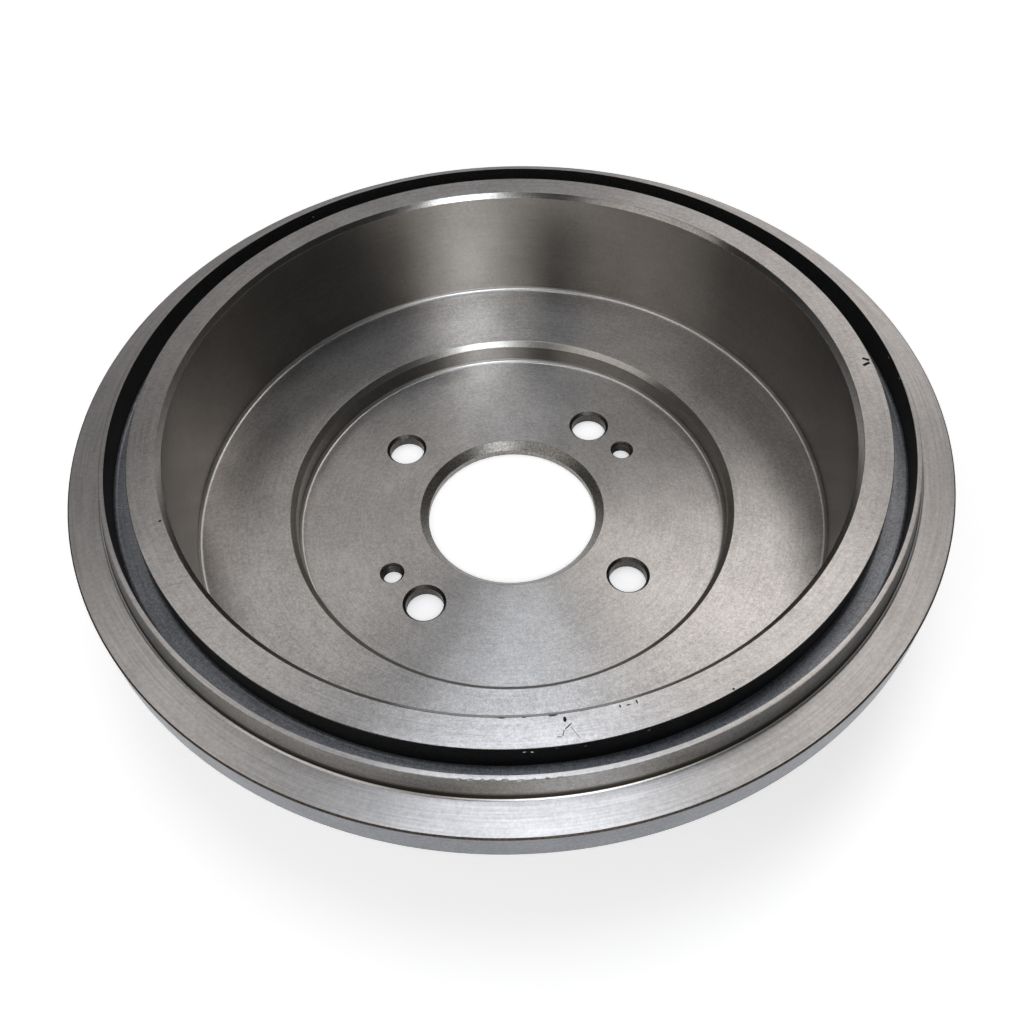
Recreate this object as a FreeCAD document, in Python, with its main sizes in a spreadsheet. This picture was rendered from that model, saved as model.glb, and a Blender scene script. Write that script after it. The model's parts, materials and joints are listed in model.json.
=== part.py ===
import FreeCAD, Part
import os
import Sketcher

# Rear brake drum, one grey iron casting, turned where it works and left as cast elsewhere.
# Millimetres, +Z up. The drum stands on its wheel face with the open side up.
# The origin is on the axis, in the plane of the wheel face.

NODE = "brake_drum"
# Two lengths closer than this are the same, in millimetres
NEAR = 1e-4

doc = FreeCAD.newDocument("BrakeDrum")
sizes = doc.addObject("Spreadsheet::Sheet", "Sizes")

# Driving dimensions: name, value and meaning
DIMENSIONS = [
    ("friction_diameter", 220.0, "bore that the shoes rub on"),
    ("mouth_bevel_width", 1.5, "radial width of the bevel at the mouth"),
    ("mouth_bevel_depth", 1.8, "axial depth of the bevel at the mouth"),
    ("shoe_floor_depth", 46.8, "ring face down to the annular floor"),
    ("floor_corner_bevel", 1.1, "bevel left between friction wall and floor"),
    ("recess_diameter", 153.4, "turned recess round the hub"),
    ("recess_depth", 9.6, "floor down to the mounting face"),
    ("recess_edge_chamfer", 1.8, "bevel round the top of the recess"),
    ("recess_corner_bevel", 1.1, "bevel left round the foot of the recess"),
    ("plate_thickness", 5.5, "mounting face to wheel face"),
    ("hub_bore_diameter", 61.0, "pilot bore on the hub"),
    ("hub_bore_chamfer", 2.8, "lead-in on the mounting face"),
    ("hub_bore_back_chamfer", 0.4, "edge break on the wheel face"),
    ("stud_circle_diameter", 100.0, "circle of the wheel studs"),
    ("stud_hole_diameter", 13.0, "clearance for an M12 stud"),
    ("stud_hole_chamfer", 1.0, "edge break at both mouths"),
    ("stud_count", 4.0, "stud holes on the circle"),
    ("stud_start_angle", 45.0, "degrees from +X to the first stud hole"),
    ("jack_hole_diameter", 6.8, "tapping size of an M8 thread"),
    ("jack_hole_chamfer", 0.9, "edge break at both mouths"),
    ("jack_count", 2.0, "threaded holes that push the drum off its hub"),
    ("jack_offset_angle", 20.0, "degrees from a stud hole back to its jack hole"),
    ("ring_wall", 10.3, "friction bore to labyrinth groove"),
    ("barrel_wall", 9.3, "friction bore to the cast outside below the flange"),
    ("barrel_draft", 1.5, "degrees, the barrel narrows towards the wheel face"),
    ("groove_width", 6.7, "labyrinth groove for the rim of the backing plate"),
    ("groove_depth", 10.2, "ring face down to the groove floor"),
    ("groove_corner_bevel", 0.8, "cast corners of the groove floor"),
    ("lip_width", 1.5, "flat top of the splash lip"),
    ("lip_draft", 12.0, "degrees, outer side of the splash lip"),
    ("lip_foot_bevel", 0.9, "bevel between lip and flange"),
    ("flange_width", 13.4, "outer wall of the groove to the rim"),
    ("flange_setback", 7.6, "ring face down to the flange face"),
    ("flange_thickness", 10.6, "turned rim of the flange"),
    ("flange_edge_chamfer", 0.5, "edge break of the rim"),
    ("flange_back_bevel", 3.0, "cast taper behind the flange"),
    ("web_thickness", 7.0, "annular floor to the cast shoulder"),
    ("shoulder_radius", 6.0, "cast outer corner of the shoulder"),
    ("hat_wall", 6.4, "recess to the cast outside of the hat"),
    ("hat_draft", 4.0, "degrees, the hat narrows towards the wheel face"),
    ("hat_foot_bevel", 2.2, "cast taper between shoulder and hat"),
    ("hat_edge_chamfer", 1.0, "edge break of the wheel face"),
]

# Radii and heights that follow from the driving dimensions
FOLLOWING = [
    ("friction_radius", "=friction_diameter / 2"),
    ("mouth_radius", "=friction_radius + mouth_bevel_width"),
    ("ring_radius", "=friction_radius + ring_wall"),
    ("groove_radius", "=ring_radius + groove_width"),
    ("lip_radius", "=groove_radius + lip_width"),
    ("lip_foot_reach", "=lip_radius + flange_setback * tan(lip_draft * 1 deg)"),
    ("flange_radius", "=groove_radius + flange_width"),
    ("barrel_radius", "=friction_radius + barrel_wall"),
    ("recess_radius", "=recess_diameter / 2"),
    ("recess_edge_reach", "=recess_radius + recess_edge_chamfer"),
    ("hat_radius", "=recess_radius + hat_wall"),
    ("hub_bore_radius", "=hub_bore_diameter / 2"),
    ("hub_mouth_radius", "=hub_bore_radius + hub_bore_chamfer"),
    ("stud_circle_radius", "=stud_circle_diameter / 2"),
    ("hub_mouth_height", "=plate_thickness - hub_bore_chamfer"),
    ("floor_height", "=plate_thickness + recess_depth"),
    ("recess_edge_height", "=floor_height - recess_edge_chamfer"),
    ("shoulder_height", "=floor_height - web_thickness"),
    ("ring_height", "=floor_height + shoe_floor_depth"),
    ("mouth_height", "=ring_height - mouth_bevel_depth"),
    ("groove_height", "=ring_height - groove_depth"),
    ("flange_height", "=ring_height - flange_setback"),
    ("flange_back_height", "=flange_height - flange_thickness"),
    ("barrel_end_radius", "=barrel_radius - (flange_back_height - shoulder_height) * tan(barrel_draft * 1 deg)"),
    ("wheel_face_radius", "=hat_radius - shoulder_height * tan(hat_draft * 1 deg)"),
    ("jack_start_angle", "=stud_start_angle - jack_offset_angle"),
]

for row, (alias, value, meaning) in enumerate(DIMENSIONS, start=1):
    sizes.set("A%d" % row, alias.replace("_", " "))
    sizes.set("B%d" % row, "%g" % value)
    sizes.set("C%d" % row, meaning)
    sizes.setAlias("B%d" % row, alias)
doc.recompute()
for row, (alias, formula) in enumerate(FOLLOWING, start=len(DIMENSIONS) + 1):
    sizes.set("A%d" % row, alias.replace("_", " "))
    sizes.set("B%d" % row, formula)
    sizes.setAlias("B%d" % row, alias)
    doc.recompute()


def size(alias):
    """The present value of one size in the sheet."""
    return float(sizes.get(alias))


def bind(target, prop, alias, unit=""):
    """Ties a property to one size of the sheet."""
    target.setExpression(prop, "Sizes." + alias + unit)


def new_sketch(name, role):
    """A sketch on one of the drum's own origin planes."""
    sketch = drum.newObject("Sketcher::SketchObject", name)
    plane = [feature for feature in drum.Origin.OriginFeatures if feature.Role == role][0]
    sketch.AttachmentSupport = [(plane, "")]
    sketch.MapMode = "FlatFace"
    doc.recompute()
    return sketch


def dimension(sketch, kind, alias, index):
    """Dimensions the start point of one line from the axis or from the base."""
    number = sketch.addConstraint(Sketcher.Constraint(kind, -1, 1, index, 1, size(alias)))
    bind(sketch, "Constraints[%d]" % number, alias)


def draw_section(name, corners):
    """A closed half section; each corner is a radius and a height, and None is the base line."""
    sketch = new_sketch(name, "XZ_Plane")
    points = []
    for radius, height in corners:
        points.append(FreeCAD.Vector(size(radius), size(height) if height else 0, 0))
    for index, point in enumerate(points):
        following = points[(index + 1) % len(points)]
        sketch.addGeometry(Part.LineSegment(point, following), False)
    for index in range(len(points)):
        following = (index + 1) % len(points)
        sketch.addConstraint(Sketcher.Constraint("Coincident", index, 2, following, 1))
    for index, (radius, height) in enumerate(corners):
        dimension(sketch, "DistanceX", radius, index)
        if height:
            dimension(sketch, "DistanceY", height, index)
        else:
            sketch.addConstraint(Sketcher.Constraint("PointOnObject", index, 1, -1))
    doc.recompute()
    return sketch


def ring_edges(base, radius, height):
    """The full circles about the drum's axis with this radius and height."""
    found = []
    for number, edge in enumerate(base.Shape.Edges, start=1):
        curve = edge.Curve
        if not isinstance(curve, Part.Circle):
            continue
        centred = abs(curve.Center.x) < NEAR and abs(curve.Center.y) < NEAR
        if centred and abs(curve.Radius - radius) < NEAR and abs(curve.Center.z - height) < NEAR:
            found.append("Edge%d" % number)
    return found


def hole_edges(base, radius):
    """The mouths, in both faces of the plate, of the holes with this radius."""
    found = []
    for number, edge in enumerate(base.Shape.Edges, start=1):
        curve = edge.Curve
        if not isinstance(curve, Part.Circle) or abs(curve.Radius - radius) > NEAR:
            continue
        off_axis = (curve.Center.x ** 2 + curve.Center.y ** 2) ** 0.5
        if abs(off_axis - size("stud_circle_radius")) < NEAR:
            found.append("Edge%d" % number)
    return found


def finish_edges(kind, name, edges, alias):
    """A fillet or a chamfer on edges of the present solid, sized from the sheet."""
    base = drum.Tip
    before = base.Shape.Volume
    if not edges:
        raise RuntimeError(name + " found no edges")
    feature = drum.newObject("PartDesign::" + kind, name)
    feature.Base = (base, edges)
    bind(feature, "Radius" if kind == "Fillet" else "Size", alias)
    doc.recompute()
    drum.Tip = feature
    print("%-22s %2d edges, volume %+.1f mm3" % (name, len(edges), feature.Shape.Volume - before))
    if feature.Shape.Volume == before:
        raise RuntimeError(name + " changed nothing")
    return feature


def finish_ring(kind, name, radius, height, alias):
    """A fillet or a chamfer on the one full circle at this named radius and height."""
    level = size(height) if height else 0.0
    return finish_edges(kind, name, ring_edges(drum.Tip, size(radius), level), alias)


def drill(name, diameter, start_angle, count):
    """Through holes spread round the stud circle, square to the mounting face."""
    sketch = new_sketch(name + "_centre", "XY_Plane")
    sketch.setExpression("AttachmentOffset.Base.z", "Sizes.plate_thickness")
    turn = FreeCAD.Rotation(FreeCAD.Vector(0, 0, 1), size(start_angle))
    centre = turn.multVec(FreeCAD.Vector(size("stud_circle_radius"), 0, 0))
    arm = sketch.addGeometry(Part.LineSegment(FreeCAD.Vector(), centre), True)
    up = FreeCAD.Vector(0, 0, 1)
    mouth = sketch.addGeometry(Part.Circle(centre, up, size(diameter) / 2), False)
    sketch.addConstraint(Sketcher.Constraint("Coincident", arm, 1, -1, 1))
    sketch.addConstraint(Sketcher.Constraint("Coincident", mouth, 3, arm, 2))
    reach = sketch.addConstraint(Sketcher.Constraint("Distance", arm, size("stud_circle_radius")))
    bind(sketch, "Constraints[%d]" % reach, "stud_circle_radius")
    radians = FreeCAD.Units.Quantity(size(start_angle), FreeCAD.Units.Angle).getValueAs("rad").Value
    angle = sketch.addConstraint(Sketcher.Constraint("Angle", -1, 1, arm, 1, radians))
    bind(sketch, "Constraints[%d]" % angle, start_angle, " * 1 deg")
    width = sketch.addConstraint(Sketcher.Constraint("Diameter", mouth, size(diameter)))
    bind(sketch, "Constraints[%d]" % width, diameter)
    doc.recompute()
    before = drum.Tip.Shape.Volume
    hole = drum.newObject("PartDesign::Hole", name)
    hole.Profile = sketch
    doc.recompute()
    hole.ThreadType = "None"
    hole.DepthType = "ThroughAll"
    bind(hole, "Diameter", diameter)
    doc.recompute()
    pattern = drum.newObject("PartDesign::PolarPattern", name + "_circle")
    pattern.Originals = [hole]
    pattern.Axis = (sketch, ["N_Axis"])
    pattern.Angle = 360
    bind(pattern, "Occurrences", count)
    doc.recompute()
    drum.Tip = pattern
    removed = before - pattern.Shape.Volume
    print("%-22s removed %.1f mm3" % (name, removed))
    if removed <= 0:
        raise RuntimeError(name + " cut nothing")
    return pattern


drum = doc.addObject("PartDesign::Body", "BrakeDrumBody")
drum.Label = NODE

# Half section, from the hub bore out along the wheel face, up the cast outside,
# over the flange, lip, groove and ring, and back down the turned inside
section = draw_section("drum_section", [
    ("hub_bore_radius", None),
    ("wheel_face_radius", None),
    ("hat_radius", "shoulder_height"),
    ("barrel_end_radius", "shoulder_height"),
    ("barrel_radius", "flange_back_height"),
    ("flange_radius", "flange_back_height"),
    ("flange_radius", "flange_height"),
    ("lip_foot_reach", "flange_height"),
    ("lip_radius", "ring_height"),
    ("groove_radius", "ring_height"),
    ("groove_radius", "groove_height"),
    ("ring_radius", "groove_height"),
    ("ring_radius", "ring_height"),
    ("mouth_radius", "ring_height"),
    ("friction_radius", "mouth_height"),
    ("friction_radius", "floor_height"),
    ("recess_edge_reach", "floor_height"),
    ("recess_radius", "recess_edge_height"),
    ("recess_radius", "plate_thickness"),
    ("hub_mouth_radius", "plate_thickness"),
    ("hub_bore_radius", "hub_mouth_height"),
])
casting = drum.newObject("PartDesign::Revolution", "casting")
casting.Profile = section
casting.ReferenceAxis = (section, ["V_Axis"])
casting.Angle = 360
doc.recompute()
drum.Tip = casting
print("casting                volume %.1f mm3" % casting.Shape.Volume)

# Corners that the mould leaves on the outside, from the wheel face up
finish_ring("Chamfer", "hat_foot", "hat_radius", "shoulder_height", "hat_foot_bevel")
finish_ring("Fillet", "shoulder_corner", "barrel_end_radius", "shoulder_height", "shoulder_radius")
finish_ring("Chamfer", "flange_back", "barrel_radius", "flange_back_height", "flange_back_bevel")

# Cast corners on the floor of the labyrinth groove, and the turned one outside the lip
finish_ring("Chamfer", "groove_outer_corner", "groove_radius", "groove_height", "groove_corner_bevel")
finish_ring("Chamfer", "groove_inner_corner", "ring_radius", "groove_height", "groove_corner_bevel")
finish_ring("Chamfer", "lip_foot", "lip_foot_reach", "flange_height", "lip_foot_bevel")

# What the tools leave where the friction wall meets the floor, and round the recess
finish_ring("Chamfer", "floor_corner", "friction_radius", "floor_height", "floor_corner_bevel")
finish_ring("Chamfer", "recess_corner", "recess_radius", "plate_thickness", "recess_corner_bevel")

# Edge breaks of the turned faces
finish_ring("Chamfer", "flange_front_edge", "flange_radius", "flange_height", "flange_edge_chamfer")
finish_ring("Chamfer", "flange_back_edge", "flange_radius", "flange_back_height", "flange_edge_chamfer")
finish_ring("Chamfer", "wheel_face_edge", "wheel_face_radius", None, "hat_edge_chamfer")
finish_ring("Chamfer", "hub_bore_back_edge", "hub_bore_radius", None, "hub_bore_back_chamfer")

# Wheel studs pass through four holes, and two tapped holes take jacking bolts
drill("stud_hole", "stud_hole_diameter", "stud_start_angle", "stud_count")
finish_edges("Chamfer", "stud_hole_mouths", hole_edges(drum.Tip, size("stud_hole_diameter") / 2),
             "stud_hole_chamfer")
drill("jack_hole", "jack_hole_diameter", "jack_start_angle", "jack_count")
finish_edges("Chamfer", "jack_hole_mouths", hole_edges(drum.Tip, size("jack_hole_diameter") / 2),
             "jack_hole_chamfer")

drum.Placement = FreeCAD.Placement()
doc.recompute()

for item in doc.Objects:
    if "Invalid" in item.State or "Error" in item.State:
        raise RuntimeError(item.Name + " failed: " + ", ".join(item.State))
if drum.Shape.isNull() or not drum.Shape.isValid() or len(drum.Shape.Solids) != 1:
    raise RuntimeError(NODE + " is not one valid solid")

os.makedirs("parts", exist_ok=True)
drum.Shape.exportStep(os.path.join("parts", drum.Label + ".step"))
box = drum.Shape.optimalBoundingBox(False)
print("%s: %.1f x %.1f x %.1f mm, %.0f cm3, %d faces" % (
    drum.Label, box.XLength, box.YLength, box.ZLength, drum.Shape.Volume / 1000, len(drum.Shape.Faces)))
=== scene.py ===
import json
import math
import random

import bmesh
import bpy
from mathutils import Matrix, Vector


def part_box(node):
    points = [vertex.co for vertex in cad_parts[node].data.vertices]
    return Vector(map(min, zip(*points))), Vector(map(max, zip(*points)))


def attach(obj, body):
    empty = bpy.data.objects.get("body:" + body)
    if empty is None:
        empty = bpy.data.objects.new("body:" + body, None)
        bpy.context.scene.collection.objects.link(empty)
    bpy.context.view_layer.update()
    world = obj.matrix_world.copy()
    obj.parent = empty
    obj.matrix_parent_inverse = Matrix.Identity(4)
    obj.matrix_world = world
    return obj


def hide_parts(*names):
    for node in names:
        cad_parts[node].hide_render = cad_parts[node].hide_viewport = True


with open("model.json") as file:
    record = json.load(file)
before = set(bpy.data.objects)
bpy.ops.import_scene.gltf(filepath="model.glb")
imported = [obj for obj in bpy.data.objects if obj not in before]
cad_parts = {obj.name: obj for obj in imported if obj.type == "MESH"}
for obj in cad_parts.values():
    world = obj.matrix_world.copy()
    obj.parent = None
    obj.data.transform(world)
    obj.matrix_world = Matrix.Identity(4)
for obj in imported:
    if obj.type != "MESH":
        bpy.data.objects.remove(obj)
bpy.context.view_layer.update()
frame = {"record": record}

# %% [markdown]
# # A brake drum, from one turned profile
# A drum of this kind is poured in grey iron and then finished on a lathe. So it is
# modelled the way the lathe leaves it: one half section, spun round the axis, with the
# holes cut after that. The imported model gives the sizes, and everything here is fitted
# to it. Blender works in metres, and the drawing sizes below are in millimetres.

MM = 0.001
drum_low, drum_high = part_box("brake_drum")
print("packed drum, mm:", [round(side / MM, 1) for side in drum_high - drum_low])

# %% [markdown]
# ## Sizes
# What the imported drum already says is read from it: its height, its widest radius, the
# bores and the circles of holes. The other sizes are the ones that the drawing has. Each
# is written once, and the radii and heights of the section are worked out from them, so
# the shape still closes when one of them is changed.

# %% Sizes from the drawing, in mm and degrees
RECESS_RADIUS = 76.7
BORE_DEPTH = 46.8
RING_WALL = 10.3
GROOVE_WIDTH = 6.7
GROOVE_DEPTH = 10.2
LIP_WIDTH = 1.5
LIP_HEIGHT = 7.6
LIP_TAPER = 12
FLANGE_THICKNESS = 10.6
BARREL_WALL = 9.3
BARREL_TAPER = 1.5
FLOOR_THICKNESS = 7.0
HAT_WALL = 6.4
HAT_TAPER = 4
MOUTH_BEVEL = (1.5, 1.8)
RECESS_BEVEL = 1.8
HUB_BEVEL = 2.8

# %% Radii and heights of the section
mounts = {mount["name"]: mount for mount in frame["record"]["mounts"]}

RING_TOP = drum_high.z / MM
FLANGE_RADIUS = (drum_high.x - drum_low.x) / 2 / MM
FRICTION_RADIUS = mounts["friction_bore"]["dims"]["r_mm"]
HUB_RADIUS = mounts["hub_bore"]["dims"]["r_mm"]
PLATE = mounts["hub_face"]["pos_m"][2] / MM

FLOOR = RING_TOP - BORE_DEPTH
RING_RADIUS = FRICTION_RADIUS + RING_WALL
GROOVE_RADIUS = RING_RADIUS + GROOVE_WIDTH
GROOVE_FLOOR = RING_TOP - GROOVE_DEPTH
LIP_RADIUS = GROOVE_RADIUS + LIP_WIDTH
FLANGE_TOP = RING_TOP - LIP_HEIGHT
LIP_FOOT = LIP_RADIUS + (RING_TOP - FLANGE_TOP) * math.tan(math.radians(LIP_TAPER))
FLANGE_BACK = FLANGE_TOP - FLANGE_THICKNESS
BARREL_RADIUS = FRICTION_RADIUS + BARREL_WALL
SHOULDER = FLOOR - FLOOR_THICKNESS
BARREL_END = BARREL_RADIUS - (FLANGE_BACK - SHOULDER) * math.tan(math.radians(BARREL_TAPER))
HAT_RADIUS = RECESS_RADIUS + HAT_WALL
WHEEL_FACE = HAT_RADIUS - SHOULDER * math.tan(math.radians(HAT_TAPER))
print("ring", round(RING_RADIUS, 1), "lip", round(LIP_RADIUS, 1), "flange", round(FLANGE_RADIUS, 1))

# %% Holes in the mounting plate
STUD_CIRCLE = mounts["stud_holes"]["dims"]["pcd_mm"] / 2
STUD_HOLE = mounts["stud_holes"]["dims"]["hole_r_mm"]
STUD_COUNT = mounts["stud_holes"]["dims"]["count"]
FIRST_STUD = 45
STUD_ANGLES = [FIRST_STUD + 360 // STUD_COUNT * turn for turn in range(STUD_COUNT)]
STUD_BEVEL = 1.0
JACK_HOLE = mounts["jack_hole_front"]["dims"]["r_mm"]
JACK_ANGLES = (25, 205)
JACK_FLARE = 0.9
JACK_MOUTH = JACK_HOLE + JACK_FLARE
THREAD_DEPTH_RADIUS = 4.0
THREAD_PITCH = 1.25


def on_stud_circle(angle):
    """Where a hole's centre is, in millimetres, from its angle in degrees."""
    return STUD_CIRCLE * math.cos(math.radians(angle)), STUD_CIRCLE * math.sin(math.radians(angle))


print("stud holes", STUD_ANGLES, "jack holes", JACK_ANGLES)

# %% [markdown]
# ## The camera
# The photographer stands a little to the left of the drum's own front, and looks down
# into it from close by, so the near side looks much larger than the far one. The lens,
# the distance and the slight roll were worked out from thirteen circles of the drum. The
# camera could also be moved by eye until the outlines meet, but circles settle it.

# %% Camera: angles, and millimetres from the middle of the wheel face
CAMERA_TURN = math.radians(-6.5)
CAMERA_OUT = 231.01
CAMERA_UP = 300.36
AIM_OUT = 45.45
CAMERA_ROLL = math.radians(-2.475)
LENS = 36.185
SENSOR = 36.0
NEAREST_SEEN = 0.01


def from_front(out, up, aside=0.0):
    """A place in metres, seen from the camera's side: out towards it, up, and to its right."""
    forward = Vector((math.sin(CAMERA_TURN), -math.cos(CAMERA_TURN), 0))
    right = Vector((math.cos(CAMERA_TURN), math.sin(CAMERA_TURN), 0))
    return (forward * out + right * aside + Vector((0, 0, up))) * MM


def look(thing, target, roll=0.0):
    """Points a camera or a lamp at a place."""
    aim = (target - thing.location).to_track_quat("-Z", "Y")
    thing.rotation_mode = "QUATERNION"
    thing.rotation_quaternion = aim @ Matrix.Rotation(roll, 3, "Z").to_quaternion()


bpy.ops.object.camera_add(location=from_front(CAMERA_OUT, CAMERA_UP))
camera = bpy.context.object
camera.data.lens = LENS
camera.data.sensor_width = SENSOR
camera.data.clip_start = NEAREST_SEEN
look(camera, from_front(AIM_OUT, RING_TOP), CAMERA_ROLL)
bpy.context.scene.camera = camera
print("camera, mm:", [round(value / MM, 1) for value in camera.location])

# %% [markdown]
# ## Nodes
# One small function adds a node, sets what it is told to and links it. Colours are
# written as sRGB hex values, as a paint program shows them, and one function turns them
# into the linear values that the shader works with.

# %% Helpers for materials


def linear(code):
    """An sRGB hex colour as linear red, green, blue and full alpha."""
    channels = [int(code[start:start + 2], 16) / 255 for start in (1, 3, 5)]
    bent = [c / 12.92 if c <= 0.04045 else ((c + 0.055) / 1.055) ** 2.4 for c in channels]
    return (*bent, 1.0)


def node(tree, kind, settings=(), **sockets):
    """Adds a node; a socket is given by its name, with _ for a space, as a value or a link."""
    made = tree.nodes.new(kind)
    for name, value in dict(settings).items():
        setattr(made, name, value)
    for name, value in sockets.items():
        key = int(name[1:]) if name[1:].isdigit() else name.replace("_", " ")
        socket = made.inputs[key]
        if isinstance(value, bpy.types.NodeSocket):
            tree.links.new(value, socket)
        else:
            socket.default_value = value
    return made


def mixed_colour(tree, share, first, second):
    """The first colour where the share is 0, and the second where it is 1."""
    return node(tree, "ShaderNodeMix", {"data_type": "RGBA"},
                _0=share, _6=first, _7=second).outputs[2]


def new_material(name):
    """An empty material with its output node."""
    material = bpy.data.materials.new(name)
    material.use_nodes = True
    material.node_tree.nodes.clear()
    return material, material.node_tree


# %% [markdown]
# ## The floor
# The drum stands on plain white paper. One large plane does for it. Paper in a studio is
# lit all over, and here the lamps reach only the middle, so the paper also glows: for the
# camera, for what mirrors it and for what lets it through, but not for the iron's own
# light. The glow is weak near the drum, where its shadow has to show, and grows outwards.

# %% Floor, with its sizes in metres
FLOOR_SIZE = 60.0
GLOW_FROM, GLOW_TO = 0.5, 2.5
GLOW_NEAR, GLOW_FAR = 0.5, 0.87

bpy.ops.object.select_all(action="DESELECT")
bpy.ops.mesh.primitive_plane_add(size=FLOOR_SIZE)
floor = bpy.context.object
floor.name = "studio_floor"
material, tree = new_material("studio_floor_paper")
paper = node(tree, "ShaderNodeBsdfDiffuse", Color=linear("#f4f4f4"))
away = node(tree, "ShaderNodeVectorMath", {"operation": "LENGTH"},
            Vector=node(tree, "ShaderNodeTexCoord").outputs["Object"])
strength = node(tree, "ShaderNodeMapRange", {"interpolation_type": "SMOOTHSTEP"},
                _0=away.outputs["Value"], _1=GLOW_FROM, _2=GLOW_TO, _3=GLOW_NEAR, _4=GLOW_FAR)
glow = node(tree, "ShaderNodeEmission", Color=linear("#ffffff"), Strength=strength.outputs[0])
rays = node(tree, "ShaderNodeLightPath")
seen = node(tree, "ShaderNodeMath", {"operation": "MAXIMUM"},
            _0=rays.outputs["Is Camera Ray"], _1=rays.outputs["Is Glossy Ray"])
seen = node(tree, "ShaderNodeMath", {"operation": "MAXIMUM"},
            _0=seen.outputs[0], _1=rays.outputs["Is Transmission Ray"])
lit = node(tree, "ShaderNodeAddShader", _0=paper.outputs[0], _1=glow.outputs[0])
both = node(tree, "ShaderNodeMixShader", _0=seen.outputs[0], _1=paper.outputs[0], _2=lit.outputs[0])
node(tree, "ShaderNodeOutputMaterial", Surface=both.outputs[0])
floor.data.materials.append(material)

# %% [markdown]
# ## The lamps
# A turned face has fine rings round the axis, and each of them mirrors a lamp only where
# it is side on to it. So a lamp shows as a streak from the middle outwards, on its own
# side and on the opposite one, and dark fans lie between the streaks. Ten soft oval
# lamps stand in a wide circle, and each is placed by the streak that it has to give: two
# in front for the brightest one, one overhead for the even light on the flat faces, and
# weaker ones at the right, the back and the left for the glints on the walls. A lamp
# further away is larger by as much, so its size is given as it is seen from the drum.

# %% Lamps
LAMP_REACH = 1800
LAMPS = [
    # name, degrees round from the camera's right, degrees up, half width and half height
    # as degrees seen from the drum, brightness, colour
    ("key", 283, 51, 8.5, 7.0, 7.8, "#eef5ff"),
    ("key_low", 280, 39, 19.0, 6.0, 4.0, "#fdfcfa"),
    ("front", 281, 27, 30.0, 5.0, 1.6, "#fff4e6"),
    ("top", 90, 82, 11.0, 12.0, 3.8, "#f4f8ff"),
    ("right_back_high", 60, 58, 11.0, 10.0, 2.1, "#fff8f2"),
    ("right_back_low", 64, 32, 15.0, 13.0, 0.95, "#fff8f2"),
    ("back", 97, 41, 16.0, 10.0, 0.35, "#fff8f2"),
    ("left_back", 134, 57, 21.0, 9.0, 0.8, "#fffaf6"),
    ("left_high", 202, 58, 21.0, 9.0, 0.95, "#fffaf6"),
    ("left_low", 219, 38, 22.0, 10.0, 1.25, "#fffaf6"),
]


def soft_lamp(name, turn, lift, half_width, half_height, brightness, colour):
    """An oval area lamp that faces the drum from a given direction."""
    turn, lift = math.radians(turn), math.radians(lift)
    place = from_front(-LAMP_REACH * math.cos(lift) * math.sin(turn), LAMP_REACH * math.sin(lift),
                       LAMP_REACH * math.cos(lift) * math.cos(turn))
    bpy.ops.object.light_add(type="AREA", location=place)
    lamp = bpy.context.object
    lamp.name = name + "_lamp"
    lamp.data.shape = "ELLIPSE"
    lamp.data.size = 2 * LAMP_REACH * MM * math.tan(math.radians(half_width))
    lamp.data.size_y = 2 * LAMP_REACH * MM * math.tan(math.radians(half_height))
    area = math.pi / 4 * lamp.data.size * lamp.data.size_y
    lamp.data.energy = brightness * math.pi * area
    lamp.data.color = linear(colour)[:3]
    look(lamp, from_front(0, PLATE))


for lamp_row in LAMPS:
    soft_lamp(*lamp_row)
print("lamps:", len(LAMPS))

# %% [markdown]
# ## The sky
# Iron mirrors whatever is round it. Pale paper low down keeps the sides light, and a dark
# room above gives the walls their deep tones, so the sky goes from pale at the horizon
# to dark grey higher up, in two soft steps.

# %% World
LOW_STEP = (0.0, 0.22)
HIGH_STEP = (0.12, 0.5)

world = bpy.data.worlds.new("studio")
world.use_nodes = True
tree = world.node_tree
tree.nodes.clear()
way = node(tree, "ShaderNodeTexCoord").outputs["Generated"]
lift = node(tree, "ShaderNodeSeparateXYZ", Vector=way).outputs["Z"]
low = node(tree, "ShaderNodeMapRange", {"interpolation_type": "SMOOTHSTEP"}, _0=lift,
           _1=LOW_STEP[0], _2=LOW_STEP[1])
high = node(tree, "ShaderNodeMapRange", {"interpolation_type": "SMOOTHSTEP"}, _0=lift,
            _1=HIGH_STEP[0], _2=HIGH_STEP[1])
air_colour = mixed_colour(tree, low.outputs[0], linear("#f6f5f3"), linear("#8c8c8c"))
air_colour = mixed_colour(tree, high.outputs[0], air_colour, linear("#363637"))
air = node(tree, "ShaderNodeBackground", Color=air_colour, Strength=1.0)
node(tree, "ShaderNodeOutputWorld", Surface=air.outputs[0])
bpy.context.scene.world = world
bpy.context.scene.view_settings.view_transform = "Standard"

# %% [markdown]
# ## Finishes
# It is all one grey iron, a nearly neutral grey metal. What differs is how each face was
# made. A lathe leaves fine rings, which draw a lamp out into a streak across them, and
# the graphite flakes that were torn out leave a fine speckle. So the colour and the
# relief are one mix: rings, speckle, grit and a slow cloudiness, each at its real size.
# The friction bore is finished finer, and its colour is painted darker as shade for the dark
# inside that it mirrors. The groove and the outside keep the skin of the mould.

# %% Sizes of the patterns
# Torn graphite flakes are 0.1 to 0.5 mm long. The grit is drawn at the long end of that,
# and the speckle, which stands for clumps of them, coarser, so that both show.
SPECKLE_MM = 1.2
GRIT_MM = 0.45
CLOUD_MM = 14.0
WAVES_ROUND = 6.0
FINE_DETAIL = 2.0
GRAIN_ROUGHNESS = 0.6

# %% Patterns


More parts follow.
